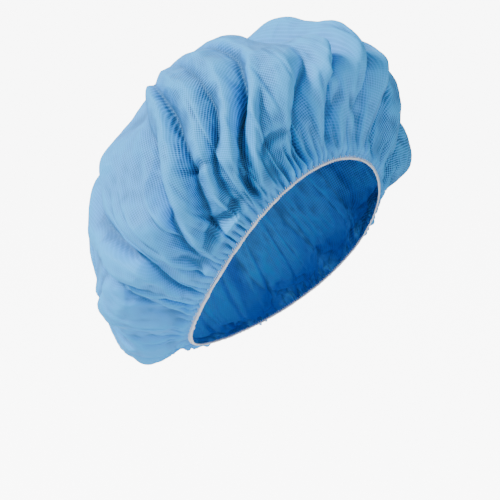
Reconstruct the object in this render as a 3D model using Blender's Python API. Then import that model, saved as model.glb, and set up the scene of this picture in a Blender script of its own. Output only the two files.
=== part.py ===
"""A disposable gathered hair cap, as worn: a sheet of thin nonwoven cloth drawn up on an elastic band.

Blender 4.5, metres, +Z up. The wearer looks along -Y, so +X is the wearer's left. The origin is the
middle of the rim, where the head goes in. The rim slopes from the forehead down to the nape.
"""

import math

import bmesh
import bpy
import numpy as np

# The rim, which follows the head from the forehead, over the ears, to the nape.
RIM_LENGTH = 0.201
RIM_WIDTH = 0.152
RIM_TILT_DEG = 48.7
NAPE_NARROWING_SHARE = 0.19
EAR_DIP = 0.0139

# The bag that balloons from the rim.
CROWN_HEIGHT = 0.154
BAG_OVERHANG = 0.045
CROWN_FORWARD = 0.0135
NAPE_DROOP = 0.012
CLOTH_WALL = 0.0015

# Gathers at the rim, pleats above them, creases that run up from the rim, and broad lobes.
GATHER_COUNT = 60
GATHER_DEPTH = 0.0016
PLEAT_COUNT = 30
PLEAT_DEPTH = 0.0016
PLEAT_DRIFT = 2.2
CREASE_DEPTH = 0.0100
CREASE_START_SHARE = 0.07
CREASE_BULGE = 0.8
COLUMNS_PER_CREASE = 3
RIM_SPREAD = 3
FOLD_SPAN = 0.020
FOLD_DEPTH = 0.012
LOBE_SPAN = 0.045
LOBE_HEIGHT = 0.010
STEEPEST_WALL = 0.6

# The elastic band under the edge of the cloth.
BAND_HEIGHT = 0.0028
BAND_THICKNESS = 0.0020
SEAT_GAP = 0.0003
BAND_COLUMNS = 96
BAND_CORNERS = 6

# How far the bag stands out past the rim, by direction seen from the crown, as shares of BAG_OVERHANG.
OVERHANG_COLUMNS = ("direction_deg", "share")
OVERHANG = (
    (0, 1.11),
    (45, 1.11),
    (90, 0.92),
    (135, 0.85),
    (180, 0.62),
    (225, 0.90),
    (270, 0.84),
    (315, 0.75),
)

# Sections of the bag from the rim to the crown. way is the share of the cloth's length from rim to
# crown, out the share of the overhang, span the share of the bag's width and rise that of its height.
SECTION_COLUMNS = ("way", "out", "span", "rise")
SECTIONS = (
    (0.00, 0.00, 1.00, 0.000),
    (0.06, 0.17, 1.00, 0.072),
    (0.14, 0.56, 1.00, 0.150),
    (0.26, 1.00, 1.00, 0.275),
    (0.45, 1.00, 0.95, 0.525),
    (0.65, 1.00, 0.72, 0.805),
    (0.85, 1.00, 0.34, 0.965),
    (1.00, 1.00, 0.00, 1.000),
)

# Broad lobes and hollows. u is degrees round the rim from the forehead, towards the wearer's left,
# way as above, span a share of LOBE_SPAN and height of LOBE_HEIGHT.
LOBE_COLUMNS = ("name", "u", "way", "span", "height")
LOBES = (
    ("front_left_puff", 54, 0.19, 0.50, 1.4),
    ("front_left_hollow", 45, 0.25, 0.35, -0.8),
    ("front_notch", 37, 0.27, 0.30, -0.4),
    ("forehead_puff", 27, 0.28, 0.55, -0.3),
    ("high_front_lobe", 1, 0.40, 0.45, 0.5),
    ("far_lobe_crest", 9, 0.61, 0.45, 0.5),
    ("crown_saddle", 351, 0.54, 0.70, -1.7),
    ("crown_dip", 2, 0.73, 0.70, -1.1),
    ("near_lobe", 322, 0.50, 0.60, 0.2),
    ("right_back_lobe", 299, 0.70, 0.40, 0.5),
    ("back_hollow", 284, 0.72, 0.45, -0.9),
    ("back_bulge", 262, 0.60, 0.45, 0.4),
    ("tail_back_hollow", 228, 0.43, 0.45, -0.5),
    ("tail_lobe", 208, 0.17, 0.40, 1.2),
    ("tail_hollow", 216, 0.27, 0.40, -1.1),
    ("left_crown_lobe", 70, 0.60, 1.00, 0.7),
    ("left_back_hollow", 120, 0.45, 0.80, -0.8),
    ("left_back_lobe", 145, 0.30, 0.80, 0.8),
)

# Ridges and valleys that run up the bag, in order round the rim: u in degrees and height as a share
# of CREASE_DEPTH, each at the four ways of CREASE_WAYS.
CREASE_WAYS = (0.08, 0.22, 0.36, 0.52)
CREASE_END = 0.80
CREASE_COLUMNS = ("name", "u0", "u1", "u2", "u3", "height0", "height1", "height2", "height3")
CREASES = (
    ("tail_ridge", 212, 215, 212, 208, 0.3, 0.6, 0.3, 0.2),
    ("tail_valley", 222, 226, 222, 216, -0.3, -0.5, -0.4, -0.2),
    ("hip_ridge", 234, 237, 233, 224, 0.3, 0.4, 0.4, 0.3),
    ("nape_pocket", 243, 246, 246, 232, -0.4, -0.9, -0.4, -0.1),
    ("nape_ridge", 256, 261, 256, 241, 0.3, 0.7, 0.8, 0.5),
    ("nape_valley", 259, 264, 260, 249, -0.3, -0.8, -0.9, -0.5),
    ("back_panel_ridge", 266, 273, 271, 262, 0.4, 0.5, 0.7, 0.4),
    ("back_valley", 275, 282, 286, 290, -0.4, -1.1, -1.3, -0.9),
    ("back_ridge", 280, 287, 293, 300, 0.3, 0.9, 1.0, 0.8),
    ("side_valley", 289, 297, 300, 303, -0.5, -0.9, -0.9, -0.7),
    ("ear_ridge", 297, 302, 307, 311, 0.3, 0.5, 0.6, 0.6),
    ("upper_side_valley", 302, 305, 315, 319, -0.1, -0.4, -0.7, -0.3),
    ("temple_back_ridge", 306, 312, 320, 326, 0.3, 0.6, 0.6, 0.5),
    ("temple_valley", 311, 318, 327, 335, -0.5, -1.2, -1.2, -0.5),
    ("temple_ridge", 315, 322, 331, 339, 0.4, 0.7, 0.8, 0.6),
    ("low_temple_valley", 323, 326, 334, 341, -0.5, -0.3, 0.5, 0.6),
    ("panel_ridge", 329, 335, 341, 343, 0.3, 0.7, 0.8, 0.7),
    ("front_side_valley", 334, 341, 348, 345, -0.6, -0.9, -0.1, 0.6),
    ("near_lobe_edge", 346, 349, 355, 348, 0.3, 0.6, 0.8, 0.3),
    ("front_valley", 351, 354, 359, 354, -0.5, -1.0, -1.4, -1.4),
    ("far_lobe_ridge", 357, 361, 365, 365, 0.3, 0.3, 0.5, 0.7),
    ("brow_valley", 366, 369, 374, 371, -0.2, -0.5, -0.6, -0.1),
    ("forehead_ridge", 373, 374, 380, 382, 0.3, 0.6, 0.5, 0.5),
    ("left_brow_valley", 384, 387, 389, 390, -0.5, -0.9, -0.7, -0.3),
    ("left_brow_ridge", 394, 396, 398, 400, 0.4, 0.6, 0.7, 0.5),
    ("left_temple_valley", 406, 410, 407, 408, -0.5, -1.0, -0.9, -0.4),
    ("left_temple_ridge", 418, 420, 417, 418, 0.4, 0.7, 0.7, 0.5),
    ("left_temple_hollow", 426, 427, 426, 428, -0.4, -0.7, -0.6, -0.2),
    ("left_panel_ridge", 433, 435, 437, 438, 0.3, 0.6, 0.8, 0.6),
    ("left_ear_valley", 442, 446, 448, 448, -0.5, -1.1, -1.1, -0.6),
    ("left_ear_ridge", 453, 456, 459, 460, 0.4, 0.7, 0.8, 0.6),
    ("left_side_valley", 462, 464, 468, 470, -0.5, -0.8, -0.8, -0.4),
    ("left_back_ridge", 472, 475, 479, 482, 0.4, 0.6, 0.7, 0.5),
    ("left_back_valley", 482, 487, 491, 493, -0.5, -1.1, -1.0, -0.6),
    ("left_nape_ridge", 493, 498, 502, 505, 0.4, 0.7, 0.7, 0.5),
    ("left_nape_valley", 503, 509, 513, 516, -0.4, -0.8, -0.8, -0.3),
    ("nape_left_ridge", 514, 520, 525, 528, 0.3, 0.6, 0.7, 0.4),
    ("nape_middle_valley", 526, 531, 535, 537, -0.5, -0.9, -0.9, -0.4),
    ("nape_middle_ridge", 538, 542, 546, 546, 0.4, 0.6, 0.6, 0.4),
    ("nape_right_valley", 550, 553, 555, 554, -0.4, -0.8, -0.7, -0.3),
)

# Folds across the creases, each along a path of three points. height is a share of FOLD_DEPTH, span a
# share of FOLD_SPAN, and crease from 0, round, to 1, sharp.
FOLD_COLUMNS = ("name", "u0", "way0", "u1", "way1", "u2", "way2", "span", "height", "crease")
FOLDS = (
    ("crown_cross_valley", 60, 0.68, 120, 0.86, 210, 0.72, 0.80, -0.45, 0.4),
    ("crown_back_valley", 255, 0.74, 220, 0.66, 196, 0.60, 0.70, -0.40, 0.4),
)

# Rings of the mesh: way from rim to crown, and how many of the columns each ring has, one in skip.
RING_COLUMNS = ("way", "skip")
RINGS = (
    (0.000, 1), (0.012, 1), (0.028, 1), (0.048, 1), (0.072, 1), (0.098, 1), (0.128, 1), (0.160, 1),
    (0.195, 1), (0.232, 1), (0.270, 1), (0.310, 1), (0.352, 1), (0.396, 1), (0.442, 1), (0.490, 1),
    (0.540, 1), (0.592, 2), (0.648, 2), (0.706, 2), (0.768, 2), (0.832, 4), (0.896, 4), (0.956, 8),
)

CLOTH_COLOUR = (0.36, 0.62, 0.88, 1.0)
BAND_COLOUR = (0.86, 0.88, 0.90, 1.0)

SIDE_AXIS = np.array((1.0, 0.0, 0.0))
UP_AXIS = np.array((0.0, 0.0, 1.0))
PATH_STEPS = 24


def rim_axes():
    """The direction from the nape to the forehead, and the direction from the rim to the crown."""
    tilt = math.radians(RIM_TILT_DEG)
    forward = np.array((0.0, -math.cos(tilt), math.sin(tilt)))
    crownward = np.array((0.0, math.sin(tilt), math.cos(tilt)))
    return forward, crownward


def column(value, axis):
    """value times axis, for an array of values."""
    return np.asarray(value)[..., None] * axis


def rim_point(u):
    forward, crownward = rim_axes()
    half_width = RIM_WIDTH / 2 * (1 + NAPE_NARROWING_SHARE * np.cos(u))
    point = column(RIM_LENGTH / 2 * np.cos(u), forward) + column(half_width * np.sin(u), SIDE_AXIS)
    return point - column(EAR_DIP * np.sin(u) ** 2, crownward)


def rim_outward(u):
    """The direction away from the head, in the plane of the rim."""
    forward, _ = rim_axes()
    along = np.cos(u) / (RIM_LENGTH / 2)
    across = np.sin(u) / (RIM_WIDTH / 2)
    length = np.hypot(along, across)
    return column(along / length, forward) + column(across / length, SIDE_AXIS)


def smooth_table(x, keys, values):
    """A smooth curve through the table's points."""
    keys, values = np.asarray(keys, float), np.asarray(values, float)
    slopes = np.gradient(values, keys)
    i = np.clip(np.searchsorted(keys, x, side="right") - 1, 0, len(keys) - 2)
    step = keys[i + 1] - keys[i]
    t = (x - keys[i]) / step
    start = (1 + 2 * t) * (1 - t) ** 2 * values[i] + t * (1 - t) ** 2 * step * slopes[i]
    return start + t * t * (3 - 2 * t) * values[i + 1] - t * t * (1 - t) * step * slopes[i + 1]


def overhang(u):
    """How far the bag stands out past the rim, smoothly round the head."""
    degrees = [row[0] for row in OVERHANG]
    shares = [row[1] for row in OVERHANG]
    keys = [d - 360 for d in degrees[-2:]] + degrees + [d + 360 for d in degrees[:3]]
    values = shares[-2:] + shares + shares[:3]
    return BAG_OVERHANG * smooth_table(np.degrees(u) % 360, keys, values)


def envelope(u, way):
    """The bag with no folds: u in radians round the rim, way from 0 at the rim to 1 at the crown."""
    u, way = np.broadcast_arrays(np.asarray(u, float), np.asarray(way, float))
    forward, crownward = rim_axes()
    keys = [row[0] for row in SECTIONS]
    out, span, rise = (smooth_table(way, keys, [row[k] for row in SECTIONS]) for k in (1, 2, 3))
    point = rim_point(u) + column(out * overhang(u), rim_outward(u))
    point = column(span, 1.0) * point + column(rise * CROWN_HEIGHT, crownward)
    point = point + column(CROWN_FORWARD * np.sin(way * math.pi / 2) ** 2, forward)
    sag = np.exp(-(((way - 0.26) / 0.20) ** 2)) * (0.5 - 0.5 * np.cos(u)) * np.minimum(way / 0.10, 1)
    return point - column(NAPE_DROOP * sag, UP_AXIS)


def envelope_normal(u, way):
    """The outward normal of the bag with no folds."""
    step = 1e-4
    way = np.clip(way, step, 1 - 40 * step)
    along_u = envelope(u + step, way) - envelope(u - step, way)
    along_way = envelope(u, way + step) - envelope(u, way - step)
    normal = np.cross(along_u, along_way)
    return normal / np.linalg.norm(normal, axis=-1, keepdims=True)


def path_points(fold):
    """Points on the bag along a fold, from its three (u, way) pairs."""
    t = np.linspace(0, 1, PATH_STEPS)
    # The crown is the middle of this flat disc, so a path may cross it.
    flat = []
    for k in (1, 3, 5):
        u, way = math.radians(fold[k]), fold[k + 1]
        flat.append(np.array(((1 - way) * math.cos(u), (1 - way) * math.sin(u))))
    middle = 2 * flat[1] - (flat[0] + flat[2]) / 2
    curve = column((1 - t) ** 2, flat[0]) + column(2 * t * (1 - t), middle) + column(t * t, flat[2])
    return envelope(np.arctan2(curve[:, 1], curve[:, 0]), 1 - np.hypot(curve[:, 0], curve[:, 1]))


def fold_height(base):
    """The height of all lobes and folds at points of the smooth bag."""
    height = np.zeros(base.shape[:-1])
    for _, u, way, span, share in LOBES:
        centre = envelope(math.radians(u), way)
        distance = np.linalg.norm(base - centre, axis=-1) / (span * LOBE_SPAN)
        height += share * LOBE_HEIGHT * np.exp(-(distance**2))
    for fold in FOLDS:
        span, share, crease = fold[7:]
        points = path_points(fold)
        distances = np.linalg.norm(base[..., None, :] - points, axis=-1)
        nearest = distances.argmin(axis=-1) / (PATH_STEPS - 1)
        across = np.clip(distances.min(axis=-1) / (span * FOLD_SPAN), 0, 1)
        round_shape = (1 - across) ** 2 * (1 + 2 * across)
        sharp_shape = (1 - across) ** 1.5
        shape = (1 - crease) * round_shape + crease * sharp_shape
        taper = np.minimum(1, 0.35 + 3 * nearest) * np.minimum(1, 0.2 + 3 * (1 - nearest))
        height += share * FOLD_DEPTH * shape * taper
    return height


def crease_row(way, first):
    """The creases' values at one way, from four columns of the table that start at first."""
    x = np.clip(way, CREASE_WAYS[0], CREASE_WAYS[-1])
    return np.array([float(smooth_table(x, CREASE_WAYS, row[first:first + 4])) for row in CREASES])


def close_round(values, turn, beside=1):
    """The values with some of each end's repeated beyond the other, a turn further round."""
    return np.concatenate((values[-beside:] - turn, values, values[:beside] + turn))


def ring_turns(way, place):
    """u of points in a ring, in radians. place counts creases, which the columns follow up the bag."""
    turns = crease_row(way, 1)
    # At the rim the columns stand more evenly: each is in the middle of its neighbours.
    window = 2 * RIM_SPREAD + 1
    even = np.convolve(close_round(turns, 360, RIM_SPREAD), np.ones(window) / window, mode="valid")
    follow = min(1, way / CREASE_START_SHARE)
    line = close_round(even + follow * (turns - even), 360)
    return np.radians(np.interp(place, np.arange(-1, len(CREASES) + 1), line))


def crease_height(way, place):
    """Sharp valleys between ridges that bulge by CREASE_BULGE."""
    line = close_round(crease_row(way, 5), 0)
    k = np.floor(place).astype(int) + 1
    low, high = np.minimum(line[k], line[k + 1]), np.maximum(line[k], line[k + 1])
    t = np.where(line[k + 1] >= line[k], place % 1, 1 - place % 1)
    rise = (1 - CREASE_BULGE) * t + CREASE_BULGE * np.sin(t * math.pi / 2)
    fade = min(1, way / CREASE_START_SHARE)
    fade *= np.clip((CREASE_END - way) / (CREASE_END - CREASE_WAYS[-1]), 0, 1)
    return CREASE_DEPTH * fade * (low + (high - low) * rise)


def gather_height(way, share):
    """Tight gathers at the elastic, which fade into wider pleats. share is the part of a turn."""
    turn = 2 * math.pi * share
    fade = np.clip(0.5 + way / 0.04, 0, 1) * np.clip(1 - way / 0.16, 0, 1)
    gathers = GATHER_DEPTH * fade * np.cos(GATHER_COUNT * turn)
    rise = np.clip(way / 0.05, 0, 1) * np.clip(1 - way / 0.40, 0, 1)
    return gathers + PLEAT_DEPTH * rise * np.cos(PLEAT_COUNT * turn + PLEAT_DRIFT * np.sin(3 * turn))


def crown_ring(way, skip):
    """The outer points of one ring of the cloth, and its normals with no folds."""
    place = np.arange(0, len(CREASES) * COLUMNS_PER_CREASE, skip) / COLUMNS_PER_CREASE
    share = place / len(CREASES)
    u = ring_turns(way, place)
    base = envelope(u, np.full(len(u), way))
    normal = envelope_normal(u, np.full(len(u), way))
    height = fold_height(base) * min(1, way / CREASE_START_SHARE)
    height += crease_height(way, place) + gather_height(way, share)
    return base + column(height, 1.0) * normal, normal


def crown_top():
    """The outer point and the normal at the middle of the crown."""
    _, crownward = rim_axes()
    base = envelope(0.0, 1.0)
    return base + float(fold_height(base)) * crownward, crownward


def inner_skin(outer, normal, faces):
    """The outer skin's points moved in by the wall, further where a fold is steep."""
    corners = outer[np.array(faces)]
    face_normal = np.cross(corners[:, 1] - corners[:, 0], corners[:, 2] - corners[:, 0])
    total = np.zeros_like(outer)
    for k in range(3):
        np.add.at(total, np.array(faces)[:, k], face_normal)
    total /= np.linalg.norm(total, axis=1, keepdims=True)
    steep = np.clip(np.einsum("ij,ij->i", total, normal), STEEPEST_WALL, 1)
    return outer - CLOTH_WALL * normal / steep[:, None]


def ring_faces(lower, upper, lower_start, upper_start):
    """Faces between two rings of points, each four-sided gap split along its shorter diagonal.

    The upper ring has as many points as the lower one, or half as many."""
    count = len(upper)
    ratio = len(lower) // count
    faces = []
    for i in range(count):
        j = (i + 1) % count
        low = [(i * ratio + k) % len(lower) for k in range(ratio + 1)]
        below = [lower_start + k for k in low]
        above = (upper_start + i, upper_start + j)
        if ratio == 2:
            faces.append((below[0], below[1], above[0]))
            faces.append((below[1], above[1], above[0]))
            faces.append((below[1], below[2], above[1]))
        elif np.linalg.norm(lower[low[0]] - upper[j]) < np.linalg.norm(lower[low[1]] - upper[i]):
            faces.append((below[0], below[1], above[1]))
            faces.append((below[0], above[1], above[0]))
        else:
            faces.append((below[0], below[1], above[0]))
            faces.append((below[1], above[1], above[0]))
    return faces


def add_points(mesh, points):
    return [mesh.verts.new(tuple(point)) for point in points]


def finish_object(name, mesh, material):
    data = bpy.data.meshes.new(name)
    mesh.to_mesh(data)
    mesh.free()
    data.shade_smooth()
    data.materials.append(material)
    obj = bpy.data.objects.new(name, data)
    bpy.context.scene.collection.objects.link(obj)
    return obj


def make_material(name, colour, roughness):
    material = bpy.data.materials.new(name)
    material.use_nodes = True
    shader = material.node_tree.nodes["Principled BSDF"]
    shader.inputs["Base Color"].default_value = colour
    shader.inputs["Roughness"].default_value = roughness
    shader.inputs["Metallic"].default_value = 0.0
    return material


def build_crown():
    """The gathered sheet: an outer and an inner skin with the same faces, joined round the rim."""
    rings = [crown_ring(way, skip) for way, skip in RINGS]
    starts = np.cumsum([0] + [len(points) for points, _ in rings])
    faces = []
    for k in range(len(rings) - 1):
        faces += ring_faces(rings[k][0], rings[k + 1][0], starts[k], starts[k + 1])
    last = len(rings[-1][0])
    faces += [(starts[-2] + i, starts[-2] + (i + 1) % last, starts[-1]) for i in range(last)]

    top, top_normal = crown_top()
    outer = np.concatenate([points for points, _ in rings] + [[top]])
    normal = np.concatenate([normals for _, normals in rings] + [[top_normal]])
    mesh = bmesh.new()
    skins = []
    for side, points in enumerate((outer, inner_skin(outer, normal, faces))):
        verts = add_points(mesh, points)
        for face in faces:
            corners = [verts[k] for k in face]
            mesh.faces.new(corners if side == 0 else corners[::-1])
        skins.append(verts[: len(rings[0][0])])
    edge, lining = skins
    for i in range(len(edge)):
        j = (i + 1) % len(edge)
        mesh.faces.new((edge[j], edge[i], lining[i]))
        mesh.faces.new((edge[j], lining[i], lining[j]))
    return finish_object("crown", mesh, make_material("nonwoven_cloth", CLOTH_COLOUR, 0.6))


def build_elastic_band():
    """The stretched elastic that follows the edge of the cloth, a small gap below it."""
    mesh = bmesh.new()
    u = np.arange(BAND_COLUMNS) * 2 * math.pi / BAND_COLUMNS
    edge = envelope(u, np.zeros(BAND_COLUMNS))
    normal = envelope_normal(u, np.zeros(BAND_COLUMNS))
    tangent = np.roll(edge, -1, axis=0) - np.roll(edge, 1, axis=0)
    tangent /= np.linalg.norm(tangent, axis=1, keepdims=True)
    away = np.cross(tangent, normal)
    away *= np.sign(np.einsum("ij,j->i", away, -rim_axes()[1]))[:, None]
    middle = edge - column(np.full(BAND_COLUMNS, CLOTH_WALL / 2), 1.0) * normal
    middle = middle + (SEAT_GAP + BAND_HEIGHT / 2) * away
    rings = []
    for k in range(BAND_CORNERS):
        angle = 2 * math.pi * (k + 0.5) / BAND_CORNERS
        corner = BAND_HEIGHT / 2 * math.sin(angle) * away + BAND_THICKNESS / 2 * math.cos(angle) * normal
        rings.append(add_points(mesh, middle + corner))
    for k in range(BAND_CORNERS):
        here, beside = rings[k], rings[(k + 1) % BAND_CORNERS]
        for i in range(BAND_COLUMNS):
            j = (i + 1) % BAND_COLUMNS
            mesh.faces.new((here[i], here[j], beside[j]))
            mesh.faces.new((here[i], beside[j], beside[i]))
    bmesh.ops.recalc_face_normals(mesh, faces=mesh.faces)
    return finish_object("elastic_band", mesh, make_material("white_elastic", BAND_COLOUR, 0.7))


def main():
    for obj in list(bpy.data.objects):
        bpy.data.objects.remove(obj)
    build_crown()
    build_elastic_band()


main()
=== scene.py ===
import math

import bpy
import numpy as np
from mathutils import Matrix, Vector


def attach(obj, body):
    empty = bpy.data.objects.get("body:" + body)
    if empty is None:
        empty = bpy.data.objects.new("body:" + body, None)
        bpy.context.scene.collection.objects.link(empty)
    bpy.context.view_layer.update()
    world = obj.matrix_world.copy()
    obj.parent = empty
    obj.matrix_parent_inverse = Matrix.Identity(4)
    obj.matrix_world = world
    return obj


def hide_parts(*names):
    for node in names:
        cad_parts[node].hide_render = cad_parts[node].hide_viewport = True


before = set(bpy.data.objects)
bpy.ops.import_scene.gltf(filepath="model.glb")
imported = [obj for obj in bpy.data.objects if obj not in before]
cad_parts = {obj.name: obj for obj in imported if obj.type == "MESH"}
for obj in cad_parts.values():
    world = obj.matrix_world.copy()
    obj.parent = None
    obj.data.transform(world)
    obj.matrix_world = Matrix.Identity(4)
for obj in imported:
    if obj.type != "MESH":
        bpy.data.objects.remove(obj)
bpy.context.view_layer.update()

scene = bpy.context.scene

# The worn cap. Its sizes, sections, lobes and lines of creases are the same as the solid's. The creases
# are deeper and sharper here, and there are more small folds.
bag = {
    "rimLength": 0.201,
    "rimWidth": 0.152,
    "rimTilt": math.radians(48.7),
    "napeNarrowing": 0.19,
    "earDip": 0.0139,
    "crownHeight": 0.154,
    "overhang": 0.045,
    "crownForward": 0.0135,
    "napeDroop": 0.012,
    "lobeSpan": 0.045,
    "lobeHeight": 0.010,
    "foldSpan": 0.020,
    "foldDepth": 0.012,
    "foldStart": 0.07,
    # degrees round the rim from its front end, share of the overhang there
    "overhangRound": (
        (0, 1.11), (45, 1.11), (90, 0.92), (135, 0.85),
        (180, 0.62), (225, 0.90), (270, 0.84), (315, 0.75),
    ),
    # way from rim to crown, out, span and rise as shares
    "sections": (
        (0.00, 0.00, 1.00, 0.000), (0.06, 0.17, 1.00, 0.072), (0.14, 0.56, 1.00, 0.150),
        (0.26, 1.00, 1.00, 0.275), (0.45, 1.00, 0.95, 0.525), (0.65, 1.00, 0.72, 0.805),
        (0.85, 1.00, 0.34, 0.965), (1.00, 1.00, 0.00, 1.000),
    ),
    # name, degrees round, way, span, height
    "lobes": (
        ("frontLeftPuff", 54, 0.19, 0.50, 1.4),
        ("frontLeftHollow", 45, 0.25, 0.35, -0.8),
        ("frontNotch", 37, 0.27, 0.30, -0.4),
        ("foreheadPuff", 27, 0.28, 0.55, -0.3),
        ("highFrontLobe", 1, 0.40, 0.45, 0.5),
        ("farLobeCrest", 9, 0.61, 0.45, 0.5),
        ("crownSaddle", 351, 0.54, 0.70, -1.7),
        ("crownDip", 2, 0.73, 0.70, -1.1),
        ("nearLobe", 322, 0.50, 0.60, 0.2),
        ("rightBackLobe", 299, 0.70, 0.40, 0.5),
        ("backHollow", 284, 0.72, 0.45, -0.9),
        ("backBulge", 262, 0.60, 0.45, 0.4),
        ("tailBackHollow", 228, 0.43, 0.45, -0.5),
        ("tailLobe", 208, 0.17, 0.40, 1.2),
        ("tailHollow", 216, 0.27, 0.40, -1.1),
        ("leftCrownLobe", 70, 0.60, 1.00, 0.7),
        ("leftBackHollow", 120, 0.45, 0.80, -0.8),
        ("leftBackLobe", 145, 0.30, 0.80, 0.8),
    ),
    # Ridges and valleys that run up from the rim, in order round the cap. Degrees round from the
    # front end, then height as a share of creaseDepth, each at the four ways of creaseWays.
    "creaseWays": (0.08, 0.22, 0.36, 0.52),
    "creaseDepth": 0.0122,
    "creaseBulge": 0.35,
    "creases": (
        ("tailRidge", 212, 215, 212, 208, 0.3, 0.6, 0.3, 0.2),
        ("tailValley", 222, 226, 222, 216, -0.3, -0.5, -0.4, -0.2),
        ("hipRidge", 234, 237, 233, 224, 0.3, 0.4, 0.4, 0.3),
        ("napePocket", 243, 246, 246, 232, -0.4, -0.9, -0.4, -0.1),
        ("napeRidge", 256, 261, 256, 241, 0.3, 0.7, 0.8, 0.5),
        ("napeValley", 259, 264, 260, 249, -0.3, -0.8, -0.9, -0.5),
        ("backPanelRidge", 266, 273, 271, 262, 0.4, 0.5, 0.7, 0.4),
        ("backValley", 275, 282, 286, 290, -0.4, -1.1, -1.3, -0.9),
        ("backRidge", 280, 287, 293, 300, 0.3, 0.9, 1.0, 0.8),
        ("sideValley", 289, 297, 300, 303, -0.5, -0.9, -0.9, -0.7),
        ("earRidge", 297, 302, 307, 311, 0.3, 0.5, 0.6, 0.6),
        ("upperSideValley", 302, 305, 315, 319, -0.1, -0.4, -0.7, -0.3),
        ("templeBackRidge", 306, 312, 320, 326, 0.3, 0.6, 0.6, 0.5),
        ("templeValley", 311, 318, 327, 335, -0.5, -1.2, -1.2, -0.5),
        ("templeRidge", 315, 322, 331, 339, 0.4, 0.7, 0.8, 0.6),
        ("lowTempleValley", 323, 326, 334, 341, -0.5, -0.3, 0.5, 0.6),
        ("panelRidge", 329, 335, 341, 343, 0.3, 0.7, 0.8, 0.7),
        ("frontSideValley", 334, 341, 348, 345, -0.6, -0.9, -0.1, 0.6),
        ("nearLobeEdge", 346, 349, 355, 348, 0.3, 0.6, 0.8, 0.3),
        ("frontValley", 351, 354, 359, 354, -0.5, -1.0, -1.4, -1.4),
        ("farLobeRidge", 357, 361, 365, 365, 0.3, 0.3, 0.5, 0.7),
        ("browValley", 366, 369, 374, 371, -0.2, -0.5, -0.6, -0.1),
        ("foreheadRidge", 373, 374, 380, 382, 0.3, 0.6, 0.5, 0.5),
        ("leftBrowValley", 384, 387, 389, 390, -0.5, -0.9, -0.7, -0.3),
        ("leftBrowRidge", 394, 396, 398, 400, 0.4, 0.6, 0.7, 0.5),
        ("leftTempleValley", 406, 410, 407, 408, -0.5, -1.0, -0.9, -0.4),
        ("leftTempleRidge", 418, 420, 417, 418, 0.4, 0.7, 0.7, 0.5),
        ("leftTempleHollow", 426, 427, 426, 428, -0.4, -0.7, -0.6, -0.2),
        ("leftPanelRidge", 433, 435, 437, 438, 0.3, 0.6, 0.8, 0.6),
        ("leftEarValley", 442, 446, 448, 448, -0.5, -1.1, -1.1, -0.6),
        ("leftEarRidge", 453, 456, 459, 460, 0.4, 0.7, 0.8, 0.6),
        ("leftSideValley", 462, 464, 468, 470, -0.5, -0.8, -0.8, -0.4),
        ("leftBackRidge", 472, 475, 479, 482, 0.4, 0.6, 0.7, 0.5),
        ("leftBackValley", 482, 487, 491, 493, -0.5, -1.1, -1.0, -0.6),
        ("leftNapeRidge", 493, 498, 502, 505, 0.4, 0.7, 0.7, 0.5),
        ("leftNapeValley", 503, 509, 513, 516, -0.4, -0.8, -0.8, -0.3),
        ("napeLeftRidge", 514, 520, 525, 528, 0.3, 0.6, 0.7, 0.4),
        ("napeMiddleValley", 526, 531, 535, 537, -0.5, -0.9, -0.9, -0.4),
        ("napeMiddleRidge", 538, 542, 546, 546, 0.4, 0.6, 0.6, 0.4),
        ("napeRightValley", 550, 553, 555, 554, -0.4, -0.8, -0.7, -0.3),
    ),
    # Folds that cross them: name, three points as degrees round and way, span, height, crease.
    "folds": (
        ("crownCrossValley", 60, 0.68, 120, 0.86, 210, 0.72, 0.80, -0.45, 0.4),
        ("crownBackValley", 255, 0.74, 220, 0.66, 196, 0.60, 0.70, -0.40, 0.4),
        ("earTuck", 297, 0.31, 301, 0.29, 306, 0.26, 0.30, -0.40, 0.8),
        ("napeTuck", 246, 0.33, 251, 0.28, 256, 0.22, 0.35, -0.35, 0.8),
        ("browTuck", 360, 0.17, 364, 0.13, 369, 0.10, 0.30, -0.30, 0.8),
        ("peakCrest", 350, 0.26, 353, 0.23, 357, 0.20, 0.35, 0.35, 0.8),
        ("hipTuck", 226, 0.30, 234, 0.36, 243, 0.38, 0.40, -0.35, 0.8),
        ("panelTuck", 322, 0.13, 328, 0.16, 334, 0.15, 0.30, -0.35, 0.8),
        ("ruffleCrest", 283, 0.056, 293, 0.062, 303, 0.052, 0.36, 0.60, 0.4),
        ("ruffleTuck", 282, 0.100, 293, 0.106, 305, 0.092, 0.24, -0.45, 0.9),
        ("earPocket", 312, 0.05, 311, 0.11, 313, 0.19, 0.26, -0.50, 0.9),
        ("templePocket", 337, 0.04, 337, 0.10, 340, 0.17, 0.26, -0.50, 0.9),
        ("browPocket", 353, 0.05, 353, 0.11, 357, 0.18, 0.26, -0.50, 0.9),
        ("napePocketFold", 271, 0.05, 273, 0.11, 272, 0.18, 0.26, -0.45, 0.9),
        ("tailPocket", 252, 0.04, 254, 0.10, 251, 0.17, 0.26, -0.40, 0.9),
    ),
}

forward = np.array((0.0, -math.cos(bag["rimTilt"]), math.sin(bag["rimTilt"])))   # back end to front end
crownward = np.array((0.0, math.sin(bag["rimTilt"]), math.cos(bag["rimTilt"])))
sideways = np.array((1.0, 0.0, 0.0))
upward = np.array((0.0, 0.0, 1.0))


def spread(values, direction):
    return np.asarray(values)[..., None] * direction


def smoothTable(x, keys, values):
    keys, values = np.asarray(keys, float), np.asarray(values, float)
    slopes = np.gradient(values, keys)
    i = np.clip(np.searchsorted(keys, x, side="right") - 1, 0, len(keys) - 2)
    step = keys[i + 1] - keys[i]
    t = (x - keys[i]) / step
    start = (1 + 2 * t) * (1 - t) ** 2 * values[i] + t * (1 - t) ** 2 * step * slopes[i]
    return start + t * t * (3 - 2 * t) * values[i + 1] - t * t * (1 - t) * step * slopes[i + 1]


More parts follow.
